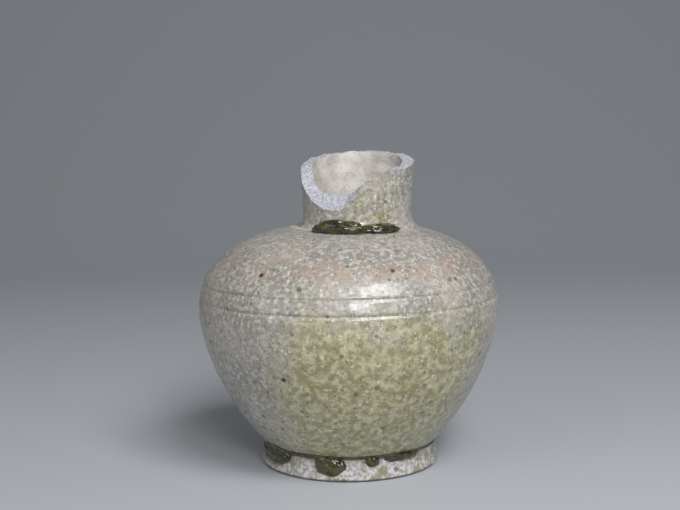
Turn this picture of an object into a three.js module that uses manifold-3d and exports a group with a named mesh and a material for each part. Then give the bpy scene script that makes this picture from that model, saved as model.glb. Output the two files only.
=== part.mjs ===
// Small stoneware jar with a round belly, a low foot ring and a broken neck that
// was luted on slightly off the jar's axis. Millimetres, +Z up, origin at the
// centre of the foot's resting face. Angles turn from the front (-Y) towards +X.
import * as THREE from "three";
import { mergeVertices } from "three/addons/utils/BufferGeometryUtils.js";
import Module from "manifold-3d";

const wasm = await Module();
wasm.setup();

// Driving dimensions
const MAX_RADIUS = 50; // belly
const BELLY_HEIGHT = 52; // height of the widest point
const DOME_REACH = 28.5; // height of the shoulder's curve above the belly
const DOME_POWER = 2.35; // fullness of the shoulder's curve
const BOWL_REACH = 61.5; // depth of the lower body's curve below the belly
const BOWL_POWER = 1.62; // fullness of the lower body's curve
const WALL = 4.2; // thrown wall
const SEAM_HEIGHT = 56; // where the shoulder was joined to the lower body
const SEAT_HEIGHT = 78.6; // flat on which the neck was luted
const FLOOR_TOP = 13; // inside of the jar's floor
const FOOT_HEIGHT = 8;
const FOOT_RADIUS = 29.7;
const FOOT_TOP_RADIUS = 29.1;
const FOOT_BORE = 22.5; // radius of the hollow under the jar
const FOOT_ROUND = 1.1; // worn edges of the foot
const NECK_OFFSET = 3.3; // the neck's axis lies this far to +X
const NECK_BORE = 13.9;
const NECK_ROOT_RADIUS = 19;
const NECK_WAIST_RADIUS = 18;
const NECK_WAIST_HEIGHT = 82.4;
const NECK_MOUTH_RADIUS = 19.1;
const NECK_MOUTH_BORE = 15;
const BREAK_HEIGHT = 100.3; // mean height of the broken edge
const BREAK_TILT = 3.3; // the edge is this much higher at the back
const BREAK_TILT_ANGLE = 170;
const BITE_ANGLE = -23; // middle of the large missing flake
const BITE_OUTER_DEPTH = 11.9;
const BITE_INNER_DEPTH = 7.4;
const BITE_LEFT_SPREAD = 32; // degrees
const BITE_RIGHT_SPREAD = 22;
const CONTACT_GAP = 0.3; // between a glaze deposit and the clay under it
const SEGMENTS = 40;
const BODY_ROWS = 11;
const DOME_ROWS = 10;
const NECK_ROWS = 5;

const stoneware = { color: 0xaea99d, roughness: 0.42, metalness: 0 };
const footClay = { color: 0xb7b3b0, roughness: 0.8, metalness: 0 };
const ashGlaze = { color: 0x34381a, roughness: 0.12, metalness: 0 };

const radians = THREE.MathUtils.degToRad;

// Radius of the jar's outside at a height; grow moves the whole surface outwards
function bodyRadius(z, grow = 0) {
  const above = z > BELLY_HEIGHT;
  const reach = (above ? DOME_REACH : BOWL_REACH) + grow;
  const power = above ? DOME_POWER : BOWL_POWER;
  const share = Math.abs(z - BELLY_HEIGHT) / reach;
  return (MAX_RADIUS + grow) * (1 - share ** power) ** (1 / power);
}

// Radius of the jar's inside at a height
function innerRadius(z) {
  if (z <= BELLY_HEIGHT) {
    return bodyRadius(z) - WALL;
  }
  const reach = SEAT_HEIGHT - WALL - BELLY_HEIGHT;
  const share = Math.min(1, (z - BELLY_HEIGHT) / reach);
  return (MAX_RADIUS - WALL) * (1 - share ** DOME_POWER) ** (1 / DOME_POWER);
}

// Profile points between two heights; ease above 1 crowds them towards the end
function wallPoints(radiusAt, from, to, rows, ease = 1) {
  const points = [];
  for (let row = 0; row <= rows; row += 1) {
    const share = 1 - (1 - row / rows) ** ease;
    const z = from + (to - from) * share;
    points.push(new THREE.Vector2(radiusAt(z), z));
  }
  return points;
}

const point = (r, z) => new THREE.Vector2(r, z);

// A solid of revolution about +Z whose angle starts at the front
function turned(points) {
  return new THREE.LatheGeometry(points, SEGMENTS).rotateX(Math.PI / 2);
}

function toSolid(geometry) {
  const bare = geometry.clone();
  bare.deleteAttribute("normal");
  bare.deleteAttribute("uv");
  const merged = mergeVertices(bare, 1e-4);
  const corners = merged.index.array;
  const kept = [];
  for (let i = 0; i < corners.length; i += 3) {
    const [a, b, c] = [corners[i], corners[i + 1], corners[i + 2]];
    if (a !== b && b !== c && a !== c) {
      kept.push(a, b, c);
    }
  }
  const vertProperties = new Float32Array(merged.attributes.position.array);
  const triVerts = new Uint32Array(kept);
  return new wasm.Manifold(new wasm.Mesh({ numProp: 3, vertProperties, triVerts }));
}

function toGeometry(solid) {
  const mesh = solid.getMesh();
  const geometry = new THREE.BufferGeometry();
  geometry.setAttribute("position", new THREE.BufferAttribute(mesh.vertProperties, 3));
  geometry.setIndex(new THREE.BufferAttribute(mesh.triVerts, 1));
  geometry.computeVertexNormals();
  return geometry;
}

// Foot ring with worn edges, open in the middle
function footRing() {
  return turned([
    point(FOOT_RADIUS - FOOT_ROUND, 0),
    point(FOOT_RADIUS - FOOT_ROUND * 0.3, FOOT_ROUND * 0.3),
    point(FOOT_RADIUS, FOOT_ROUND),
    point(FOOT_TOP_RADIUS, FOOT_HEIGHT),
    point(FOOT_BORE, FOOT_HEIGHT),
    point(FOOT_BORE, FOOT_ROUND),
    point(FOOT_BORE + FOOT_ROUND, 0),
    point(FOOT_RADIUS - FOOT_ROUND, 0),
  ]);
}

// Thrown bowl from the floor to the seam
function lowerBody() {
  const outside = wallPoints(bodyRadius, FOOT_HEIGHT, SEAM_HEIGHT, BODY_ROWS);
  const inside = wallPoints(innerRadius, SEAM_HEIGHT, FLOOR_TOP + WALL / 2, BODY_ROWS - 1);
  const corner = innerRadius(FLOOR_TOP) - WALL;
  return turned([point(0, FOOT_HEIGHT), ...outside, ...inside, point(corner, FLOOR_TOP), point(0, FLOOR_TOP)]);
}

// Upper dome, flat on top, with the neck's hole cut off its axis
function shoulder() {
  const innerTop = SEAT_HEIGHT - WALL;
  const inside = wallPoints(innerRadius, SEAM_HEIGHT, innerTop, DOME_ROWS - 2, 2).reverse();
  const outside = wallPoints(bodyRadius, SEAM_HEIGHT, SEAT_HEIGHT, DOME_ROWS, 1.5);
  const dome = toSolid(turned([point(0, innerTop), ...inside.slice(1), ...outside, point(0, SEAT_HEIGHT)]));
  const drill = new THREE.CylinderGeometry(NECK_BORE, NECK_BORE, 4 * WALL, SEGMENTS);
  drill.rotateX(Math.PI / 2).translate(NECK_OFFSET, 0, SEAT_HEIGHT);
  return toGeometry(dome.subtract(toSolid(drill)));
}

// Height of the broken edge at a turn from the front, with a flake of this depth missing
function breakHeight(turn, depth) {
  const away = THREE.MathUtils.euclideanModulo(turn - BITE_ANGLE + 180, 360) - 180;
  const spread = away < 0 ? BITE_LEFT_SPREAD : BITE_RIGHT_SPREAD;
  const bite = Math.exp(-0.5 * (away / spread) ** 2);
  return BREAK_HEIGHT + BREAK_TILT * Math.cos(radians(turn - BREAK_TILT_ANGLE)) - depth * bite;
}

// Outer radius of the neck at a share of its height
function neckRadius(z) {
  if (z < NECK_WAIST_HEIGHT) {
    const share = (NECK_WAIST_HEIGHT - z) / (NECK_WAIST_HEIGHT - SEAT_HEIGHT);
    return NECK_WAIST_RADIUS + (NECK_ROOT_RADIUS - NECK_WAIST_RADIUS) * share ** 2;
  }
  const rise = (z - NECK_WAIST_HEIGHT) / (BREAK_HEIGHT - NECK_WAIST_HEIGHT);
  return NECK_WAIST_RADIUS + (NECK_MOUTH_RADIUS - NECK_WAIST_RADIUS) * rise ** 2;
}

function neckBoreRadius(z) {
  const rise = (z - SEAT_HEIGHT) / (BREAK_HEIGHT - SEAT_HEIGHT);
  return NECK_BORE + (NECK_MOUTH_BORE - NECK_BORE) * Math.max(0, rise) ** 2;
}

// Neck stub: a ring whose upper rows are moved to the broken edge's height
function neck() {
  const rise = BREAK_HEIGHT - SEAT_HEIGHT;
  const rootRow = (NECK_WAIST_HEIGHT - SEAT_HEIGHT) / rise;
  const shares = [0, rootRow / 2];
  for (let row = 0; row <= NECK_ROWS; row += 1) {
    shares.push(rootRow + (1 - rootRow) * (row / NECK_ROWS));
  }
  const outside = shares.map((share) => point(NECK_MOUTH_RADIUS, SEAT_HEIGHT + rise * share));
  const inside = shares.map((share) => point(NECK_BORE, SEAT_HEIGHT + rise * share)).reverse();
  const ring = turned([...outside, ...inside, outside[0]]);
  const places = ring.attributes.position;
  for (let i = 0; i < places.count; i += 1) {
    const [x, y] = [places.getX(i), places.getY(i)];
    const radius = Math.hypot(x, y);
    const isOutside = radius > (NECK_BORE + NECK_MOUTH_RADIUS) / 2;
    const turn = THREE.MathUtils.radToDeg(Math.atan2(x, -y));
    const edge = breakHeight(turn, isOutside ? BITE_OUTER_DEPTH : BITE_INNER_DEPTH);
    const share = (places.getZ(i) - SEAT_HEIGHT) / rise;
    const z = SEAT_HEIGHT + (edge - SEAT_HEIGHT) * share;
    const scale = (isOutside ? neckRadius(z) : neckBoreRadius(z)) / radius;
    places.setXYZ(i, x * scale + NECK_OFFSET, y * scale, z);
  }
  return ring;
}

// Clay under the glaze deposits, grown by the contact gap, that the deposits are cut back from
function clayCutter() {
  const outside = wallPoints((z) => bodyRadius(z, CONTACT_GAP), FOOT_HEIGHT, SEAT_HEIGHT, 2 * DOME_ROWS);
  const footTop = point(FOOT_TOP_RADIUS + CONTACT_GAP, FOOT_HEIGHT);
  const body = toSolid(turned([
    point(0, -1),
    point(FOOT_RADIUS + CONTACT_GAP, -1),
    point(FOOT_RADIUS + CONTACT_GAP, FOOT_ROUND),
    footTop,
    ...outside.slice(1),
    point(0, SEAT_HEIGHT + CONTACT_GAP),
  ]));
  const stub = wallPoints((z) => neckRadius(z) + CONTACT_GAP, SEAT_HEIGHT - 1, BREAK_HEIGHT, 12);
  const neckStub = turned([point(0, SEAT_HEIGHT - 1), ...stub, point(0, BREAK_HEIGHT)]);
  return body.add(toSolid(neckStub.translate(NECK_OFFSET, 0, 0)));
}

// A drop of glaze: a flattened ball laid on the clay at a turn from the front
function glazeDrop({ turn, reach, height, size, axis = 0 }, clay) {
  const ball = new THREE.SphereGeometry(1, 20, 14);
  ball.scale(size[0], size[1], size[2]);
  ball.translate(0, -reach, height).rotateZ(radians(turn)).translate(axis, 0, 0);
  return toGeometry(toSolid(ball).subtract(clay));
}

// Deposits of ash glaze: width along the clay, thickness outwards, height
const DEPOSITS = {
  glaze_pool_neck: { turn: -19, reach: 21.2, height: 80, size: [8.4, 4.2, 2.6], axis: NECK_OFFSET },
  glaze_run_foot_left: { turn: -58, reach: 29.6, height: 6.6, size: [8.2, 2.6, 4.3] },
  glaze_run_foot_mid: { turn: -13, reach: 29.4, height: 5, size: [5.2, 2, 4.2] },
  glaze_run_foot_right: { turn: 36, reach: 29.4, height: 6.8, size: [6.4, 1.8, 2.2] },
};

function addPiece(group, name, geometry, finish) {
  const mesh = new THREE.Mesh(geometry, new THREE.MeshStandardMaterial(finish));
  mesh.name = name;
  group.add(mesh);
}

const jar = new THREE.Group();
addPiece(jar, "foot_ring", footRing(), footClay);
addPiece(jar, "lower_body", lowerBody(), stoneware);
addPiece(jar, "shoulder", shoulder(), stoneware);
addPiece(jar, "neck", neck(), stoneware);
const clay = clayCutter();
for (const [name, drop] of Object.entries(DEPOSITS)) {
  addPiece(jar, name, glazeDrop(drop, clay), ashGlaze);
}

export default jar;
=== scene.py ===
"""Looks of a small stoneware jar with a broken neck and runs of olive ash glaze."""
import logging
import math
from collections.abc import Callable
from dataclasses import dataclass
from enum import Enum
from typing import Union

import bmesh
import bpy
from mathutils import Matrix, Vector, noise


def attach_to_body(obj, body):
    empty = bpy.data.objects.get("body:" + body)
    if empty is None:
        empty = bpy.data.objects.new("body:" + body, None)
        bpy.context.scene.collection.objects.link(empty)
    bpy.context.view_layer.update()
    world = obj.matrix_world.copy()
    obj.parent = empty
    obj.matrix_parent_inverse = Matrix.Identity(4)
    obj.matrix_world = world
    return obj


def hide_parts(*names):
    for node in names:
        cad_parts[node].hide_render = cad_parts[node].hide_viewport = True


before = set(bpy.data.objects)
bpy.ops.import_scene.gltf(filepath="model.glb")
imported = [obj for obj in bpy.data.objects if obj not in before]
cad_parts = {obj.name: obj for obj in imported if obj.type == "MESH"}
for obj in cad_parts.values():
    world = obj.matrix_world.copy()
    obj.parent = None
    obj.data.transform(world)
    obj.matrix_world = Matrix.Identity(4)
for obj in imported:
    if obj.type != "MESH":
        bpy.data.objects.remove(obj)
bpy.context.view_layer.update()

log = logging.getLogger("jar")

Colour = tuple[float, float, float, float]
Input = Union[bpy.types.NodeSocket, float, Colour]
Point = tuple[float, float, float]

# A ramp is the value at which a mask is 0, then the value at which it is 1
Ramp = tuple[float, float]

MM = 0.001

# The jar's form in millimetres. The largest radius, the dome's reach and the height of the break are up to
# 0.4 less than the frame's, so that the relief and the jagged edge stay inside its box.
MAX_RADIUS = 49.75
BELLY_HEIGHT = 52.0
DOME_REACH = 28.3
DOME_POWER = 2.35
BOWL_REACH = 61.5
BOWL_POWER = 1.62
WALL = 4.2
SEAM_HEIGHT = 56.0
SEAT_HEIGHT = 78.6
FLOOR_TOP = 13.0
FOOT_HEIGHT = 8.0
FOOT_RADIUS = 29.7
FOOT_TOP_RADIUS = 29.1
FOOT_BORE = 22.5
NECK_OFFSET = 3.3
NECK_BORE = 13.9
BREAK_HEIGHT = 99.9

# How every mesh is made: steps of a full spin, distance of doubles in millimetres, angle of a sharp edge
AROUND = 256
DOUBLE_DISTANCE = 1e-4
SHARP_ANGLE = math.radians(42)

# The curve of screen colours: straight below the knee, a power above it
SCREEN_KNEE = 0.04045
SCREEN_SLOPE = 12.92
SCREEN_OFFSET = 0.055
SCREEN_POWER = 2.4

# The speck effect: the wobble of its outlines, its smallest speck and its soft edge
WOBBLE_SCALE = 900.0
WOBBLE_DETAIL = 3.0
WOBBLE_REACH = 0.0006
SMALLEST_SPECK = 0.4
SPECK_EDGE: Ramp = (0.0, 0.12)

# What a noise node gives on average
NOISE_MIDDLE = 0.5


class Skin(Enum):
    """Material slots of a piece, in order."""

    OUTSIDE = 0
    INSIDE = 1
    BROKEN = 2


def srgb(red: int, green: int, blue: int) -> Colour:
    """Turns a colour given in 0 to 255 into Blender's linear colour.

    Args:
        red: red as seen on a screen.
        green: green as seen on a screen.
        blue: blue as seen on a screen.

    Returns:
        The linear colour with full alpha.
    """
    linear = []
    for value in (red, green, blue):
        share = value / 255
        if share <= SCREEN_KNEE:
            linear.append(share / SCREEN_SLOPE)
        else:
            linear.append(((share + SCREEN_OFFSET) / (1 + SCREEN_OFFSET)) ** SCREEN_POWER)
    return (linear[0], linear[1], linear[2], 1.0)


def body_radius(z: float) -> float:
    """Gives the radius of the jar's outside.

    Args:
        z: height above the table in millimetres.

    Returns:
        The radius in millimetres.
    """
    above = z > BELLY_HEIGHT
    reach = DOME_REACH if above else BOWL_REACH
    power = DOME_POWER if above else BOWL_POWER
    share = min(1.0, abs(z - BELLY_HEIGHT) / reach)
    return MAX_RADIUS * (1 - share**power) ** (1 / power)


def inner_radius(z: float) -> float:
    """Gives the radius of the jar's inside.

    Args:
        z: height above the table in millimetres.

    Returns:
        The radius in millimetres.
    """
    if z <= BELLY_HEIGHT:
        return body_radius(z) - WALL
    reach = SEAT_HEIGHT - WALL - BELLY_HEIGHT
    share = min(1.0, (z - BELLY_HEIGHT) / reach)
    return (MAX_RADIUS - WALL) * (1 - share**DOME_POWER) ** (1 / DOME_POWER)


@dataclass(frozen=True)
class Layer:
    """A layer of unevenness: its height and the scale of its noise."""

    height: float
    scale: float

    def at(self, place: Vector, shift: Point = (0.0, 0.0, 0.0)) -> float:
        """Gives the layer's height at a point, with its noise moved by a shift."""
        return self.height * noise.noise(place * self.scale + Vector(shift))


@dataclass(frozen=True)
class Groove:
    """An incised line round the body, in millimetres, and the share of the lines' drift that it follows."""

    height: float
    depth: float
    half_width: float
    drift_share: float = 1.0

    def cut(self, z: float, drift: float) -> float:
        """Gives how deep the line cuts at a height, where the lines have drifted up by a length."""
        away = (z - self.height - self.drift_share * drift) / self.half_width
        return self.depth * math.exp(-(away**2))


@dataclass(frozen=True)
class Relief:
    """The hand-thrown unevenness of the body's outside, in millimetres and radians."""

    ridge_height: float = 0.10
    ridge_rate: float = 0.82
    ridge_sway: float = 0.5
    ridge_steady: float = 0.4
    ridge_patches: Layer = Layer(0.6, 0.03)
    warp: Layer = Layer(0.22, 0.035)
    warp_shift: Point = (3.1, 0.4, 7.7)
    coarse_skin: Layer = Layer(0.05, 0.45)
    fine_skin: Layer = Layer(0.03, 1.1)
    drift: float = 0.35
    drift_start: float = 0.6
    upper_line: Groove = Groove(61.0, 0.34, 0.42)
    seam_line: Groove = Groove(56.2, 0.42, 0.5, 0.5)
    faint_line: Groove = Groove(36.0, 0.22, 0.9)
    faint_start: float = 0.2

    def ridges(self, place: Vector, turn: float) -> float:
        """Gives the height of the turning ridges at a point and its turn from the front."""
        wave = math.sin(self.ridge_rate * place.z + self.ridge_sway * math.sin(2 * turn))
        return self.ridge_height * wave * (self.ridge_steady + self.ridge_patches.at(place))

    def lines(self, z: float, turn: float) -> float:
        """Gives the depth of the incised lines.

        Args:
            z: height of the point.
            turn: angle from the front.

        Returns:
            How deep the lines cut, in millimetres.
        """
        drift = self.drift * math.sin(turn + self.drift_start)
        faint = max(0.0, math.sin(turn + self.faint_start)) * self.faint_line.cut(z, drift)
        return self.upper_line.cut(z, drift) + self.seam_line.cut(z, drift) + faint

    def at(self, place: Vector) -> float:
        """Gives how far the surface moves outwards.

        Args:
            place: point on the smooth outside.

        Returns:
            The move in millimetres.
        """
        turn = math.atan2(place.x, -place.y)
        skin = self.coarse_skin.at(place) + self.fine_skin.at(place)
        swell = self.ridges(place, turn) + self.warp.at(place, self.warp_shift) + skin
        return swell - self.lines(place.z, turn)


def spun(profile: list[tuple[float, float]], closed: bool) -> bmesh.types.BMesh:
    """Spins a profile about the upright axis.

    Args:
        profile: radius and height of each point, in millimetres.
        closed: whether the last point joins the first.

    Returns:
        A bmesh in millimetres with its doubles merged and its normals recalculated.
    """
    mesh = bmesh.new()
    corners = [mesh.verts.new((0.0, -r, z)) for r, z in profile]
    pairs = list(zip(corners, corners[1:])) + ([(corners[-1], corners[0])] if closed else [])
    edges = [mesh.edges.new(pair) for pair in pairs]
    bmesh.ops.spin(
        mesh, geom=corners + edges, cent=(0, 0, 0), axis=(0, 0, 1), dvec=(0, 0, 0),
        angle=2 * math.pi, steps=AROUND, use_merge=True, use_duplicate=False,
    )
    bmesh.ops.remove_doubles(mesh, verts=mesh.verts, dist=DOUBLE_DISTANCE)
    bmesh.ops.recalc_face_normals(mesh, faces=mesh.faces)
    return mesh


def stretch(
    radius_at: Callable[[float], float], start: float, end: float, rows: int
) -> list[tuple[float, float]]:
    """Lists profile points between two heights, closer together towards the end.

    Args:
        radius_at: gives the radius at a height.
        start: first height.
        end: last height.
        rows: number of steps.

    Returns:
        Radius and height of each point.
    """
    ease = [math.sin(0.5 * math.pi * row / rows) for row in range(rows + 1)]
    heights = [start + (end - start) * share for share in ease]
    return [(radius_at(z), z) for z in heights]


def widen(vertex: bmesh.types.BMVert, scale: float) -> None:
    """Moves a vertex away from the upright axis by a scale."""
    vertex.co.x *= scale
    vertex.co.y *= scale


def finished(name: str, mesh: bmesh.types.BMesh, materials: list[bpy.types.Material]) -> bpy.types.Object:
    """Turns a bmesh in millimetres into an object in metres.

    Args:
        name: the piece's name.
        mesh: the shape, which is used up.
        materials: the piece's material slots in order.

    Returns:
        The new object, placed at the origin.
    """
    bmesh.ops.transform(mesh, matrix=Matrix.Scale(MM, 4), verts=mesh.verts)
    data = bpy.data.meshes.new(name)
    mesh.to_mesh(data)
    mesh.free()
    for polygon in data.polygons:
        polygon.use_smooth = True
    data.set_sharp_from_angle(angle=SHARP_ANGLE)
    for material in materials:
        data.materials.append(material)
    piece = bpy.data.objects.new(name, data)
    bpy.context.scene.collection.objects.link(piece)
    return piece


@dataclass(frozen=True)
class Grain:
    """Noise with features of a size in millimetres, and the ramp that makes a mask of it."""

    size: float
    detail: float
    ramp: Ramp = (0.35, 0.65)


@dataclass(frozen=True)
class Paint:
    """A colour and how strongly it covers what lies below."""

    colour: Input
    strength: float = 1.0


@dataclass(frozen=True)
class Bump:
    """How strongly a height shows, and how deep it is in millimetres."""

    strength: float
    depth: float


@dataclass(frozen=True)
class Coat:
    """A clear coat: how much of it there is, and how rough it is."""

    weight: float
    roughness: float


class Graph:
    """Adds and links shader nodes in one tree."""

    def __init__(self, tree: bpy.types.NodeTree) -> None:
        """Keeps the tree to build in."""
        self.tree = tree

    def feed(self, socket: bpy.types.NodeSocket, value: Input) -> None:
        """Links an input, or sets its plain value.

        Args:
            socket: the input.
            value: an output to link, or a plain value.
        """
        if isinstance(value, bpy.types.NodeSocket):
            self.tree.links.new(value, socket)
        else:
            socket.default_value = value

    def node(self, kind: str, inputs: dict | None = None, **settings: object) -> bpy.types.Node:
        """Adds a node.

        Args:
            kind: the node's type name.
            inputs: values or outputs for its inputs, by name or number.
            settings: properties of the node.

        Returns:
            The new node.
        """
        made = self.tree.nodes.new(kind)
        for key, value in settings.items():
            setattr(made, key, value)
        for key, value in (inputs or {}).items():
            self.feed(made.inputs[key], value)
        return made

    def math(self, operation: str, first: Input, second: Input) -> bpy.types.NodeSocket:
        """Adds a Math node and returns its output."""
        return self.node("ShaderNodeMath", {0: first, 1: second}, operation=operation).outputs[0]

    def product(self, first: Input, *others: Input) -> bpy.types.NodeSocket:
        """Multiplies values.

        Args:
            first: the first value.
            others: the values that follow.

        Returns:
            The product.
        """
        result = first
        for other in others:
            result = self.math("MULTIPLY", result, other)
        return result

    def linear(self, value: Input, factor: float, start: float) -> bpy.types.NodeSocket:
        """Gives a start plus a value times a factor."""
        return self.math("ADD", self.product(value, factor), start)

    def rise(self, value: Input, ramp: Ramp) -> bpy.types.NodeSocket:
        """Turns a value into a mask with a smooth step.

        Args:
            value: the value to read.
            ramp: where the mask is 0 and where it is 1.

        Returns:
            The mask.
        """
        inputs = {"Value": value, "From Min": ramp[0], "From Max": ramp[1]}
        return self.node("ShaderNodeMapRange", inputs, interpolation_type="SMOOTHSTEP").outputs["Result"]

    def tint(self, under: Input, mask: Input, paint: Paint) -> bpy.types.NodeSocket:
        """Lays a paint over a colour.

        Args:
            under: the colour below.
            mask: where the paint lies.
            paint: the paint.

        Returns:
            The mixed colour.
        """
        inputs = {0: self.product(mask, paint.strength), 6: under, 7: paint.colour}
        return self.node("ShaderNodeMix", inputs, data_type="RGBA").outputs[2]


def speck_group() -> bpy.types.NodeTree:
    """Builds the shared effect of scattered specks.

    Returns:
        A node group with a place, a density, a share of cells and a radius in, and a mask out.
    """
    tree = bpy.data.node_groups.new("scattered_specks", "ShaderNodeTree")
    tree.interface.new_socket(name="Place", in_out="INPUT", socket_type="NodeSocketVector")
    for name in ("Density", "Share", "Radius"):
        tree.interface.new_socket(name=name, in_out="INPUT", socket_type="NodeSocketFloat")
    tree.interface.new_socket(name="Mask", in_out="OUTPUT", socket_type="NodeSocketFloat")
    graph = Graph(tree)
    given = graph.node("NodeGroupInput").outputs
    waves = {"Vector": given["Place"], "Scale": WOBBLE_SCALE, "Detail": WOBBLE_DETAIL}
    wobble = graph.node("ShaderNodeTexNoise", waves).outputs["Color"]
    shift = graph.node("ShaderNodeVectorMath", {0: wobble, "Scale": WOBBLE_REACH}, operation="SCALE")
    moved = graph.node("ShaderNodeVectorMath", {0: given["Place"], 1: shift.outputs[0]}, operation="ADD")
    spread = {"Vector": moved.outputs[0], "Scale": given["Density"]}
    cells = graph.node("ShaderNodeTexVoronoi", spread).outputs
    chances = graph.node("ShaderNodeSeparateColor", {0: cells["Color"]}).outputs
    chosen = graph.math("LESS_THAN", chances[0], given["Share"])
    radius = graph.product(given["Radius"], graph.math("ADD", chances[1], SMALLEST_SPECK))
    near = graph.rise(graph.math("SUBTRACT", radius, cells["Distance"]), SPECK_EDGE)
    graph.node("NodeGroupOutput", {"Mask": graph.product(chosen, near)})
    return tree


class Canvas(Graph):
    """The graph of a new material, with its shader and the place on the piece."""

    def __init__(self, name: str) -> None:
        """Starts the material.

        Args:
            name: the material's name.
        """
        self.material = bpy.data.materials.new(name)
        self.material.use_nodes = True
        super().__init__(self.material.node_tree)
        self.shader = self.tree.nodes["Principled BSDF"]
        self.place = self.node("ShaderNodeTexCoord").outputs["Object"]

    def axes(self) -> list[bpy.types.NodeSocket]:
        """Gives the place's three coordinates in metres."""
        return list(self.node("ShaderNodeSeparateXYZ", {0: self.place}).outputs)

    def cloud(self, grain: Grain) -> bpy.types.NodeSocket:
        """Gives a grain's noise."""
        inputs = {"Vector": self.place, "Scale": 1 / (grain.size * MM), "Detail": grain.detail}
        return self.node("ShaderNodeTexNoise", inputs).outputs["Fac"]

    def patches(self, grain: Grain) -> bpy.types.NodeSocket:
        """Gives a grain's mask."""
        return self.rise(self.cloud(grain), grain.ramp)

    def finish(self, colour: Input, roughness: Input, height: Input, bump: Bump) -> bpy.types.Material:
        """Feeds the shader.

        Args:
            colour: the base colour.
            roughness: the roughness.
            height: the height of the surface, 0 to 1.
            bump: how the height shows.

        Returns:
            The finished material.
        """
        inputs = {"Height": height, "Strength": bump.strength, "Distance": bump.depth * MM}
        self.feed(self.shader.inputs["Base Color"], colour)
        self.feed(self.shader.inputs["Roughness"], roughness)
        self.feed(self.shader.inputs["Normal"], self.node("ShaderNodeBump", inputs).outputs["Normal"])
        return self.material

    def cover(self, coat: Coat) -> None:
        """Gives the shader a clear coat."""
        self.feed(self.shader.inputs["Coat Weight"], coat.weight)
        self.feed(self.shader.inputs["Coat Roughness"], coat.roughness)


@dataclass(frozen=True)
class Specks:
    """One scatter of specks: cells to the metre, the share of cells that have one, and its size."""

    density: float
    share: float
    radius: float

    def mask(self, canvas: Canvas, group: bpy.types.NodeTree) -> bpy.types.NodeSocket:
        """Places the shared effect in a material and returns its mask."""
        inputs = {"Place": canvas.place, "Density": self.density, "Share": self.share, "Radius": self.radius}
        return canvas.node("ShaderNodeGroup", inputs, node_tree=group).outputs["Mask"]


FINE_SPECKS = Specks(1150.0, 0.42, 0.46)
MEDIUM_SPECKS = Specks(480.0, 0.11, 0.34)
IRON_SPOTS = Specks(150.0, 0.16, 0.15)
PALE_SPECKS = Specks(900.0, 0.20, 0.40)


@dataclass(frozen=True)
class FrontAsh:
    """The olive ash sheet that ran down the jar's front; ramps of place and the ragged reach in metres."""

    left: Ramp = (-0.030, -0.010)
    right: Ramp = (0.050, 0.030)
    upper: Ramp = (0.062, 0.046)
    front: Ramp = (-0.012, -0.024)
    ragged: Grain = Grain(11.0, 6.0)
    ragged_reach: float = 0.030
    holes: Grain = Grain(4.5, 5.0, (0.70, 0.60))

    def mask(self, canvas: Canvas) -> bpy.types.NodeSocket:
        """Builds the mask of the sheet.

        Args:
            canvas: the material's graph.

        Returns:
            The mask, 1 where ash covers the glaze.
        """
        x, y, z = canvas.axes()
        waves = canvas.math("SUBTRACT", canvas.cloud(self.ragged), NOISE_MIDDLE)
        ragged = canvas.product(waves, self.ragged_reach)
        side = canvas.math("ADD", x, ragged)
        tall = canvas.rise(canvas.math("ADD", z, ragged), self.upper)
        wide = canvas.product(canvas.rise(side, self.left), canvas.rise(side, self.right))
        return canvas.product(wide, tall, canvas.rise(y, self.front), canvas.patches(self.holes))


@dataclass(frozen=True)
class NeckAsh:
    """The green speckle on the neck's front right; ramps of place in metres."""

    left: Ramp = (-0.004, 0.003)
    right: Ramp = (0.017, 0.011)
    front: Ramp = (-0.006, -0.012)
    upper: Ramp = (0.100, 0.084)
    grains: Grain = Grain(1.3, 5.0, (0.47, 0.56))

    def mask(self, canvas: Canvas) -> bpy.types.NodeSocket:
        """Builds the mask of the speckle.

        Args:
            canvas: the material's graph.

        Returns:
            The mask, 1 where ash covers the glaze.
        """
        x, y, z = canvas.axes()
        wide = canvas.product(canvas.rise(x, self.left), canvas.rise(x, self.right))
        patch = canvas.product(wide, canvas.rise(y, self.front), canvas.rise(z, self.upper))
        return canvas.product(patch, canvas.patches(self.grains))


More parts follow.
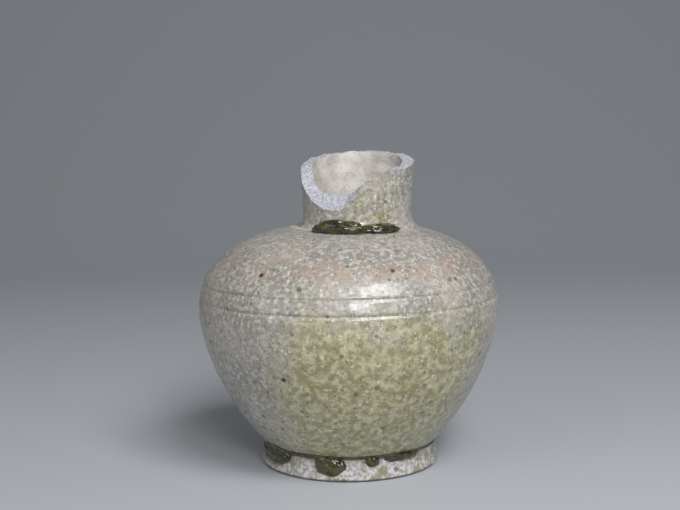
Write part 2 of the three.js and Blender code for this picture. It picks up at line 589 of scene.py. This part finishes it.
@dataclass(frozen=True)
class Glaze:
    """The speckled grey-beige glaze with its flash band, ash and iron spots; ramps of place in metres."""

    name: str
    group: bpy.types.NodeTree
    ash: FrontAsh | NeckAsh
    shade: Colour = srgb(136, 132, 125)
    broad: Grain = Grain(14.0, 4.0)
    middle: Paint = Paint(srgb(158, 152, 143))
    fine: Grain = Grain(1.6, 6.0, (0.44, 0.66))
    bloom: Paint = Paint(srgb(178, 174, 168))
    flash_low: Ramp = (0.064, 0.068)
    flash_high: Ramp = (0.075, 0.069)
    flash_grain: Grain = Grain(7.0, 4.0, (0.42, 0.62))
    flash: Paint = Paint(srgb(150, 120, 104), 0.45)
    dark_olive: Colour = srgb(134, 127, 78)
    olive_grain: Grain = Grain(2.2, 4.0, (0.38, 0.66))
    pale_olive: Paint = Paint(srgb(184, 180, 140))
    ash_strength: float = 0.78
    fine_speck: Paint = Paint(srgb(84, 76, 66), 0.42)
    pale_speck: Paint = Paint(srgb(214, 212, 208), 0.5)
    medium_speck: Paint = Paint(srgb(74, 62, 48), 0.62)
    iron_spot: Paint = Paint(srgb(34, 27, 20))
    roughness: float = 0.40
    rough_ramp: Ramp = (0.3, 0.7)
    rough_bloom: float = 0.14
    ash_gloss: float = 0.24
    coat: Coat = Coat(0.5, 0.12)
    pitted: Grain = Grain(0.9, 5.0)
    medium_pit: float = 0.6
    iron_pit: float = 0.8
    bump: Bump = Bump(0.5, 0.35)

    def ground(self, canvas: Canvas, fine: Input) -> bpy.types.NodeSocket:
        """Builds the glaze's colour below its ash and specks.

        Args:
            canvas: the material's graph.
            fine: the noise of the glaze's bloom.

        Returns:
            The colour.
        """
        colour = canvas.tint(self.shade, canvas.patches(self.broad), self.middle)
        colour = canvas.tint(colour, canvas.rise(fine, self.fine.ramp), self.bloom)
        z = canvas.axes()[2]
        band = canvas.product(canvas.rise(z, self.flash_low), canvas.rise(z, self.flash_high))
        return canvas.tint(colour, canvas.product(band, canvas.patches(self.flash_grain)), self.flash)

    def made(self) -> bpy.types.Material:
        """Makes the material.

        Returns:
            The finished material.
        """
        canvas = Canvas(self.name)
        fine = canvas.cloud(self.fine)
        ash = self.ash.mask(canvas)
        medium = MEDIUM_SPECKS.mask(canvas, self.group)
        iron = IRON_SPOTS.mask(canvas, self.group)
        olive = canvas.tint(self.dark_olive, canvas.patches(self.olive_grain), self.pale_olive)
        colour = canvas.tint(self.ground(canvas, fine), ash, Paint(olive, self.ash_strength))
        colour = canvas.tint(colour, FINE_SPECKS.mask(canvas, self.group), self.fine_speck)
        colour = canvas.tint(colour, PALE_SPECKS.mask(canvas, self.group), self.pale_speck)
        colour = canvas.tint(colour, medium, self.medium_speck)
        colour = canvas.tint(colour, iron, self.iron_spot)
        rough = canvas.linear(canvas.rise(fine, self.rough_ramp), self.rough_bloom, self.roughness)
        rough = canvas.math("SUBTRACT", rough, canvas.product(ash, self.ash_gloss))
        height = canvas.math("SUBTRACT", canvas.cloud(self.pitted), canvas.product(medium, self.medium_pit))
        height = canvas.math("SUBTRACT", height, canvas.product(iron, self.iron_pit))
        canvas.cover(self.coat)
        return canvas.finish(colour, rough, height, self.bump)


@dataclass(frozen=True)
class InsideWash:
    """The thin beige wash on the jar's inside."""

    group: bpy.types.NodeTree
    dark: Colour = srgb(172, 167, 161)
    broad: Grain = Grain(6.0, 4.0)
    pale: Paint = Paint(srgb(196, 191, 186))
    speck: Paint = Paint(srgb(120, 110, 98), 0.35)
    roughness: float = 0.5
    rough_broad: float = 0.2
    surface: Grain = Grain(0.8, 5.0)
    bump: Bump = Bump(0.5, 0.3)

    def made(self) -> bpy.types.Material:
        """Makes the material.

        Returns:
            The finished material.
        """
        canvas = Canvas("inside_wash")
        broad = canvas.cloud(self.broad)
        colour = canvas.tint(self.dark, canvas.rise(broad, self.broad.ramp), self.pale)
        colour = canvas.tint(colour, FINE_SPECKS.mask(canvas, self.group), self.speck)
        rough = canvas.linear(broad, self.rough_broad, self.roughness)
        return canvas.finish(colour, rough, canvas.cloud(self.surface), self.bump)


@dataclass(frozen=True)
class BrokenClay:
    """The granular bluish-white clay of the fracture."""

    group: bpy.types.NodeTree
    dark: Colour = srgb(150, 151, 160)
    grain: Grain = Grain(0.7, 6.0)
    pale: Paint = Paint(srgb(186, 187, 196))
    speck: Paint = Paint(srgb(150, 140, 130), 0.3)
    roughness: float = 0.72
    rough_grain: float = 0.2
    bump: Bump = Bump(0.9, 0.5)

    def made(self) -> bpy.types.Material:
        """Makes the material.

        Returns:
            The finished material.
        """
        canvas = Canvas("broken_clay")
        grain = canvas.cloud(self.grain)
        colour = canvas.tint(self.dark, canvas.rise(grain, self.grain.ramp), self.pale)
        colour = canvas.tint(colour, MEDIUM_SPECKS.mask(canvas, self.group), self.speck)
        rough = canvas.linear(grain, self.rough_grain, self.roughness)
        return canvas.finish(colour, rough, grain, self.bump)


@dataclass(frozen=True)
class FootClay:
    """The bare foot clay with its green washes, dark crease line and a painted contact shadow along its
    bottom edge; lines in metres.
    """

    group: bpy.types.NodeTree
    dark: Colour = srgb(146, 142, 136)
    grain: Grain = Grain(1.2, 6.0, (0.38, 0.62))
    pale: Paint = Paint(srgb(194, 192, 192))
    wash_grain: Grain = Grain(5.5, 5.0, (0.50, 0.60))
    wash: Paint = Paint(srgb(122, 118, 72), 0.7)
    crease: Ramp = (0.0074, 0.0088)
    crease_waves: float = 0.002
    # Painted contact shadow: darkens the bottom 1.1 mm of the foot, where it stands on the table
    contact_shadow: Ramp = (0.0011, 0.0003)
    contact_shadow_strength: float = 0.7
    # The colour of the crease line and of the painted contact shadow
    crease_and_shadow_colour: Paint = Paint(srgb(52, 48, 26))
    speck: Paint = Paint(srgb(70, 58, 44), 0.6)
    roughness: float = 0.72
    wash_gloss: float = 0.42
    bump: Bump = Bump(0.8, 0.5)

    def lines(self, canvas: Canvas, grain: Input) -> bpy.types.NodeSocket:
        """Builds the mask of the dark crease line and of the painted contact shadow, a dark band along the
        bottom where the foot meets the table.

        Args:
            canvas: the material's graph.
            grain: the noise that makes the crease line wave.

        Returns:
            The mask.
        """
        z = canvas.axes()[2]
        waved = canvas.math("ADD", z, canvas.product(grain, self.crease_waves))
        # Painted contact shadow along the foot's bottom edge
        contact_shadow = canvas.product(canvas.rise(z, self.contact_shadow), self.contact_shadow_strength)
        return canvas.math("MAXIMUM", canvas.rise(waved, self.crease), contact_shadow)

    def made(self) -> bpy.types.Material:
        """Makes the material.

        Returns:
            The finished material.
        """
        canvas = Canvas("foot_clay_washed")
        grain = canvas.cloud(self.grain)
        wash = canvas.patches(self.wash_grain)
        colour = canvas.tint(self.dark, canvas.rise(grain, self.grain.ramp), self.pale)
        colour = canvas.tint(colour, wash, self.wash)
        colour = canvas.tint(colour, self.lines(canvas, grain), self.crease_and_shadow_colour)
        colour = canvas.tint(colour, MEDIUM_SPECKS.mask(canvas, self.group), self.speck)
        rough = canvas.linear(wash, -self.wash_gloss, self.roughness)
        return canvas.finish(colour, rough, grain, self.bump)


@dataclass(frozen=True)
class ThickAsh:
    """The black-green glass of the thick deposits."""

    dark: Colour = srgb(22, 24, 10)
    blotch: Grain = Grain(2.4, 6.0, (0.40, 0.60))
    middle: Paint = Paint(srgb(66, 62, 22))
    crystals: Grain = Grain(0.6, 4.0, (0.60, 0.72))
    pale: Paint = Paint(srgb(112, 112, 54), 0.55)
    roughness: float = 0.04
    rough_blotch: float = 0.12
    coat: Coat = Coat(0.8, 0.05)
    bump: Bump = Bump(0.35, 0.4)

    def made(self) -> bpy.types.Material:
        """Makes the material.

        Returns:
            The finished material.
        """
        canvas = Canvas("thick_ash_glaze")
        blotch = canvas.cloud(self.blotch)
        colour = canvas.tint(self.dark, canvas.rise(blotch, self.blotch.ramp), self.middle)
        colour = canvas.tint(colour, canvas.patches(self.crystals), self.pale)
        rough = canvas.linear(blotch, self.rough_blotch, self.roughness)
        canvas.cover(self.coat)
        return canvas.finish(colour, rough, blotch, self.bump)


@dataclass
class Body:
    """The lower bowl and the shoulder dome, which meet in an incised line; lengths in millimetres."""

    specks: bpy.types.NodeTree
    relief: Relief = Relief()
    outer_rows: int = 120
    inner_rows: int = 36
    hole_radius: float = 9.8
    hole_top: float = SEAT_HEIGHT + 0.3
    outer_top: float = SEAT_HEIGHT + 0.4
    inner_top: float = SEAT_HEIGHT - WALL - 0.4
    smooth_below: float = FOOT_HEIGHT + 0.01
    floor_below: float = FLOOR_TOP + 1
    floor_normal: float = 0.9
    ceiling_normal: float = -0.3

    def skin(self, face: bmesh.types.BMFace) -> Skin:
        """Tells the outside's faces from the inside's.

        Args:
            face: a face of a shell.

        Returns:
            The surface that the face belongs to.
        """
        centre = face.calc_center_median()
        inwards = face.normal.x * centre.x + face.normal.y * centre.y < 0
        is_floor = face.normal.z > self.floor_normal and centre.z < self.floor_below
        is_ceiling = face.normal.z < self.ceiling_normal and centre.z > BELLY_HEIGHT
        return Skin.INSIDE if inwards or is_floor or is_ceiling else Skin.OUTSIDE

    def dressed(self, name: str, glaze: str, mesh: bmesh.types.BMesh) -> bpy.types.Object:
        """Gives a shell its relief, its glaze outside and its wash inside.

        Args:
            name: the piece's name.
            glaze: the name of its glaze material.
            mesh: the smooth shell, which is used up.

        Returns:
            The new object.
        """
        for vertex in mesh.verts:
            radius = math.hypot(vertex.co.x, vertex.co.y)
            if vertex.co.z > self.smooth_below and radius > body_radius(vertex.co.z) - WALL / 2:
                widen(vertex, (radius + self.relief.at(vertex.co)) / radius)
        for face in mesh.faces:
            face.material_index = self.skin(face).value
        skins = [Glaze(glaze, self.specks, FrontAsh()).made(), InsideWash(self.specks).made()]
        return finished(name, mesh, skins)

    def lower(self) -> bpy.types.Object:
        """Builds the thrown bowl.

        Returns:
            The new object.
        """
        outside = stretch(body_radius, FOOT_HEIGHT, SEAM_HEIGHT, self.outer_rows)
        inside = stretch(inner_radius, SEAM_HEIGHT, FLOOR_TOP + WALL / 2, self.inner_rows)
        floor = [(inner_radius(FLOOR_TOP) - WALL, FLOOR_TOP), (0.0, FLOOR_TOP)]
        mesh = spun([(0.0, FOOT_HEIGHT)] + outside + inside + floor, closed=False)
        return self.dressed("lower_body_shell", "body_glaze_low", mesh)

    def upper(self) -> bpy.types.Object:
        """Builds the shoulder dome, open where the neck stands.

        Returns:
            The new object.
        """
        outside = stretch(body_radius, SEAM_HEIGHT, self.outer_top, self.outer_rows)
        inside = stretch(inner_radius, SEAM_HEIGHT, self.inner_top, self.inner_rows)
        hole = [(self.hole_radius, self.hole_top), (self.hole_radius, self.inner_top)]
        mesh = spun(outside + hole + inside[::-1], closed=True)
        return self.dressed("shoulder_shell", "body_glaze_high", mesh)


@dataclass(frozen=True)
class Bite:
    """One edge of the missing flake; depth in millimetres, angles in degrees from the front."""

    middle: float
    depth: float
    left: float
    left_power: float
    right: float
    right_power: float = 2.0

    def cut(self, turn: float) -> float:
        """Gives how far the edge is broken down.

        Args:
            turn: angle from the front.

        Returns:
            The depth in millimetres.
        """
        away = (turn - self.middle + 180) % 360 - 180
        if away < 0:
            return self.depth * math.exp(-((-away / self.left) ** self.left_power))
        return self.depth * math.exp(-((away / self.right) ** self.right_power))


@dataclass
class Neck:
    """The neck stub with its broken edge; lengths in millimetres, angles in degrees from the front."""

    specks: bpy.types.NodeTree
    root_radius: float = 20.2
    waist_radius: float = 18.0
    waist_height: float = 82.2
    mouth_radius: float = 19.0
    mouth_bore: float = 15.0
    outer_foot: float = SEAT_HEIGHT - 0.8
    inner_foot: float = SEAT_HEIGHT - 2
    outer_bite: Bite = Bite(-22.0, 11.6, 60.0, 2.6, 25.0)
    inner_bite: Bite = Bite(-26.0, 7.2, 60.0, 4.0, 42.0)
    tilt: float = 3.0
    tilt_angle: float = 170.0
    coarse_jags: Layer = Layer(0.55, 4.0)
    fine_jags: Layer = Layer(0.30, 13.0)
    coarse_grain: Layer = Layer(0.16, 1.6)
    fine_grain: Layer = Layer(0.12, 3.5)
    break_grain: float = 2.0
    wall_grain: float = 0.2
    warp: Layer = Layer(0.12, 0.2)
    ridge_height: float = 0.10
    ridge_rate: float = 1.1
    wall_rows: int = 70
    break_rows: int = 12
    ring_radius: float = 10.0
    ring_slope: float = 0.01

    def edge(self, turn: float, bite: Bite) -> float:
        """Gives the height of the broken edge.

        Args:
            turn: angle from the front.
            bite: the edge's share of the missing flake.

        Returns:
            The height above the table.
        """
        angle = math.radians(turn)
        lean = self.tilt * math.cos(math.radians(turn - self.tilt_angle))
        place = Vector((math.sin(angle), math.cos(angle), bite.depth / 10))
        jags = self.coarse_jags.at(place) + self.fine_jags.at(place)
        return BREAK_HEIGHT + lean - bite.cut(turn) + jags

    def outer(self, z: float) -> float:
        """Gives the outer radius.

        Args:
            z: height above the table.

        Returns:
            The radius.
        """
        if z < self.waist_height:
            share = (self.waist_height - z) / (self.waist_height - SEAT_HEIGHT)
            return self.waist_radius + (self.root_radius - self.waist_radius) * share**2
        share = (z - self.waist_height) / (BREAK_HEIGHT - self.waist_height)
        return self.waist_radius + (self.mouth_radius - self.waist_radius) * share**2

    def bore(self, z: float) -> float:
        """Gives the inner radius at a height above the table."""
        share = max(0.0, (z - SEAT_HEIGHT) / (BREAK_HEIGHT - SEAT_HEIGHT))
        return NECK_BORE + (self.mouth_bore - NECK_BORE) * share**2

    def section(self, row: int, turn: float) -> tuple[float, float]:
        """Gives a point of the smooth neck.

        Args:
            row: row of the profile, up the outside, across the break and down the bore.
            turn: angle from the front.

        Returns:
            The radius and the height.
        """
        top_out = self.edge(turn, self.outer_bite)
        top_in = self.edge(turn, self.inner_bite)
        if row <= self.wall_rows:
            z = self.outer_foot + (top_out - self.outer_foot) * row / self.wall_rows
            return self.outer(z), z
        if row < self.wall_rows + self.break_rows:
            share = (row - self.wall_rows) / self.break_rows
            radius = self.outer(top_out) + (self.bore(top_in) - self.outer(top_out)) * share
            return radius, top_out + (top_in - top_out) * share
        share = (row - self.wall_rows - self.break_rows) / self.wall_rows
        z = top_in + (self.inner_foot - top_in) * share
        return self.bore(z), z

    def place(self, row: int, turn: float) -> Vector:
        """Gives a point of the neck with its ridges, warp and grain.

        Args:
            row: row of the profile.
            turn: angle from the front.

        Returns:
            The point.
        """
        radius, z = self.section(row, turn)
        angle = math.radians(turn)
        spot = Vector((radius * math.sin(angle), -radius * math.cos(angle), z))
        grain = self.coarse_grain.at(spot) + self.fine_grain.at(spot)
        if self.wall_rows < row < self.wall_rows + self.break_rows:
            spot.z += self.break_grain * grain
        else:
            wave = self.ridge_height * math.sin(self.ridge_rate * z) + self.warp.at(spot)
            scale = 1 + (wave + self.wall_grain * grain) / radius
            spot.x *= scale
            spot.y *= scale
        spot.x += NECK_OFFSET
        return spot

    def skin(self, row: float) -> Skin:
        """Gives the surface that a face belongs to.

        Args:
            row: row of the profile at the face's middle.

        Returns:
            The surface.
        """
        if row < self.wall_rows:
            return Skin.OUTSIDE
        return Skin.BROKEN if row < self.wall_rows + self.break_rows else Skin.INSIDE

    def build(self) -> bpy.types.Object:
        """Builds the neck: a spun ring, whose height counts its rows, is set row by row on its place.

        Returns:
            The new object.
        """
        count = 2 * self.wall_rows + self.break_rows
        rows = [(self.ring_radius + self.ring_slope * row, float(row)) for row in range(count + 1)]
        mesh = spun(rows, closed=True)
        for face in mesh.faces:
            face.material_index = self.skin(face.calc_center_median().z).value
        for vertex in mesh.verts:
            turn = math.degrees(math.atan2(vertex.co.x, -vertex.co.y))
            vertex.co = self.place(round(vertex.co.z), turn)
        if mesh.calc_volume(signed=True) < 0:
            bmesh.ops.reverse_faces(mesh, faces=mesh.faces)
        glaze = Glaze("neck_glaze", self.specks, NeckAsh()).made()
        skins = [glaze, InsideWash(self.specks).made(), BrokenClay(self.specks).made()]
        return finished("neck_stub", mesh, skins)


@dataclass
class Foot:
    """The foot ring with its worn edges, in millimetres."""

    specks: bpy.types.NodeTree
    worn: float = 1.1
    worn_steps: int = 6
    waist: float = 0.35
    rows: int = 24
    table_gap: float = 0.05
    bore_gap: float = 2.0
    sunk: float = 0.12
    coarse_skin: Layer = Layer(0.16, 0.25)
    fine_skin: Layer = Layer(0.10, 0.9)

    def section(self) -> list[tuple[float, float]]:
        """Lists the ring's section: worn outer edge, side, top and worn inner edge.

        Returns:
            Radius and height of each point.
        """
        quarter = [0.5 * math.pi * step / self.worn_steps for step in range(self.worn_steps + 1)]
        rounds = [(self.worn * (1 - math.sin(angle)), self.worn * (1 - math.cos(angle))) for angle in quarter]
        outer_edge = [(FOOT_RADIUS - inset, rise) for inset, rise in rounds]
        inner_edge = [(FOOT_BORE + inset, rise) for rise, inset in rounds]
        side = []
        for row in range(1, self.rows + 1):
            share = row / self.rows
            taper = (FOOT_TOP_RADIUS - FOOT_RADIUS) * share - self.waist * math.sin(math.pi * share)
            side.append((FOOT_RADIUS + taper, self.worn + (FOOT_HEIGHT - self.worn) * share))
        return outer_edge + side + [(FOOT_BORE, FOOT_HEIGHT)] + inner_edge

    def build(self) -> bpy.types.Object:
        """Builds the ring and makes its outer side uneven.

        Returns:
            The new object.
        """
        mesh = spun(self.section(), closed=True)
        for vertex in mesh.verts:
            radius = math.hypot(vertex.co.x, vertex.co.y)
            if vertex.co.z > self.table_gap and radius > FOOT_BORE + self.bore_gap:
                push = self.coarse_skin.at(vertex.co) + self.fine_skin.at(vertex.co) - self.sunk
                widen(vertex, 1 + push / FOOT_RADIUS)
        return finished("foot_ring_turned", mesh, [FootClay(self.specks).made()])


@dataclass(frozen=True)
class Drop:
    """A thick deposit of ash glaze lying round the clay; lengths in millimetres, angles in degrees."""

    name: str
    node: str
    turn: float
    spread: float
    reach: float
    thickness: float
    height: float
    half_height: float
    axis: float = 0.0
    sag: float = 0.0
    coarse_swell: Layer = Layer(0.26, 1.3)
    fine_swell: Layer = Layer(0.12, 4.1)
    largest_swell: float = 1.14
    segments: int = 72
    rings: int = 44

    def build(self, finish: bpy.types.Material) -> bpy.types.Object:
        """Builds the deposit from a ball bent round the jar and given an uneven edge.

        Args:
            finish: the material of the deposit.

        Returns:
            The new object.
        """
        mesh = bmesh.new()
        bmesh.ops.create_uvsphere(mesh, u_segments=self.segments, v_segments=self.rings, radius=1.0)
        seed = (self.turn, self.spread, 0.0)
        for vertex in mesh.verts:
            ball = vertex.co.copy()
            swell = 1 + self.coarse_swell.at(ball, seed) + self.fine_swell.at(ball, seed)
            ball *= min(swell, self.largest_swell)
            angle = math.radians(self.turn + self.spread * ball.x)
            radius = self.reach - self.thickness * ball.y
            z = self.height + self.half_height * ball.z - self.sag * ball.x**2
            vertex.co = (radius * math.sin(angle) + self.axis, -radius * math.cos(angle), z)
        bmesh.ops.recalc_face_normals(mesh, faces=mesh.faces)
        return finished(self.name, mesh, [finish])


DROPS = (
    Drop("neck_pool", "glaze_pool_neck", -19, 24.5, 20.2, 4.4, 79.9, 2.9, axis=NECK_OFFSET, sag=0.5),
    Drop("foot_run_left", "glaze_run_foot_left", -59, 17, 28.6, 2.6, 6.8, 4.3),
    Drop("foot_run_mid", "glaze_run_foot_mid", -13, 10.5, 28.6, 1.6, 5.4, 3.9),
    Drop("foot_run_right", "glaze_run_foot_right", 36, 15, 28.7, 1.2, 7.2, 1.9),
    Drop("crease_bead_left", "", -36, 30, 28.9, 0.9, 8.3, 1.1),
    Drop("crease_bead_right", "", 22, 34, 28.9, 0.8, 8.2, 0.9),
    Drop("foot_drip_small", "", 14, 4.6, 28.9, 0.7, 6.6, 2.0),
    Drop("neck_pool_thin", "", 20, 21, 20.0, 2.9, 79.7, 1.7, axis=NECK_OFFSET, sag=0.3),
)


@dataclass(frozen=True)
class Lamp:
    """A square soft light that faces the jar's middle, in metres and watts."""

    name: str
    place: Point
    size: float
    power: float
    target: Point = (0.0, 0.0, 0.05)

    def hang(self) -> None:
        """Adds the light to the scene."""
        data = bpy.data.lights.new(self.name, "AREA")
        data.size = self.size
        data.energy = self.power
        lamp = bpy.data.objects.new(self.name, data)
        aim = Vector(self.target) - Vector(self.place)
        lamp.matrix_world = Matrix.Translation(self.place) @ aim.to_track_quat("-Z", "Y").to_matrix().to_4x4()
        bpy.context.scene.collection.objects.link(lamp)


@dataclass
class Studio:
    """Floor in millimetres, soft lights, and the camera at the photograph's angle, in metres and degrees."""

    distance: float = 0.410
    eye_height: float = 0.118
    pitch: float = 6.8
    yaw: float = -0.37
    roll: float = -0.68
    focal_px: float = 1239.0
    width_px: float = 680.0
    sensor_mm: float = 36.0
    nearest: float = 0.01
    floor_half: float = 1600.0
    floor_rows: int = 90
    curve_start: float = 480.0
    curve_radius: float = 700.0
    floor_colour: Colour = srgb(172, 176, 182)
    floor_roughness: float = 0.75
    world_colour: Colour = srgb(146, 148, 147)
    world_strength: float = 0.60
    lamps: tuple[Lamp, ...] = (
        Lamp("key", (0.25, -0.45, 0.65), 0.35, 4.8),
        Lamp("fill", (-0.6, -0.5, 0.35), 0.5, 1.1),
        Lamp("front", (0.13, -0.8, 0.47), 0.24, 3.4),
    )

    def camera(self) -> None:
        """Places the camera and makes it the scene's."""
        data = bpy.data.cameras.new("photo_camera")
        data.sensor_width = self.sensor_mm
        data.lens = self.focal_px / self.width_px * self.sensor_mm
        data.clip_start = self.nearest
        camera = bpy.data.objects.new("photo_camera", data)
        level = Matrix.Rotation(math.radians(-self.yaw), 4, "Z")
        tilt = Matrix.Rotation(math.radians(90 - self.pitch), 4, "X")
        spin = Matrix.Rotation(math.radians(self.roll), 4, "Z")
        camera.matrix_world = Matrix.Translation((0, -self.distance, self.eye_height)) @ level @ tilt @ spin
        bpy.context.scene.collection.objects.link(camera)
        bpy.context.scene.camera = camera

    def floor(self) -> None:
        """Adds the pale plain floor, which curves up behind the jar."""
        mesh = bmesh.new()
        bmesh.ops.create_grid(mesh, x_segments=2, y_segments=self.floor_rows, size=self.floor_half)
        for vertex in mesh.verts:
            bend = (vertex.co.y - self.curve_start) / self.curve_radius
            if bend > 0:
                vertex.co.y = self.curve_start + self.curve_radius * math.sin(bend)
                vertex.co.z = self.curve_radius * (1 - math.cos(bend))
        material = bpy.data.materials.new("studio_floor")
        material.use_nodes = True
        shader = material.node_tree.nodes["Principled BSDF"]
        shader.inputs["Base Color"].default_value = self.floor_colour
        shader.inputs["Roughness"].default_value = self.floor_roughness
        floor = finished("studio_floor", mesh, [material])

    def surroundings(self) -> None:
        """Sets the grey light that comes from all sides."""
        world = bpy.data.worlds.new("studio")
        world.use_nodes = True
        background = world.node_tree.nodes["Background"]
        background.inputs["Color"].default_value = self.world_colour
        background.inputs["Strength"].default_value = self.world_strength
        bpy.context.scene.world = world

    def build(self) -> None:
        """Builds the whole studio."""
        self.camera()
        self.floor()
        self.surroundings()
        for lamp in self.lamps:
            lamp.hang()
        bpy.context.scene.view_settings.view_transform = "Standard"


def attach(piece: bpy.types.Object, node: str) -> None:
    """Hangs a piece on the frame.

    Args:
        piece: the finished piece.
        node: the frame's node that it stands for, or nothing for glaze that the frame leaves out.
    """
    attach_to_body(piece, "root")
    if node:
        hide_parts(node)
    log.info("built %s with %d faces", piece.name, len(piece.data.polygons))


def main() -> None:
    """Builds the studio and the jar."""
    logging.basicConfig(level=logging.INFO)
    Studio().build()
    specks = speck_group()
    body = Body(specks)
    attach(Foot(specks).build(), "foot_ring")
    attach(body.lower(), "lower_body")
    attach(body.upper(), "shoulder")
    attach(Neck(specks).build(), "neck")
    thick = ThickAsh().made()
    for drop in DROPS:
        attach(drop.build(thick), drop.node)


if __name__ == "__main__":
    main()
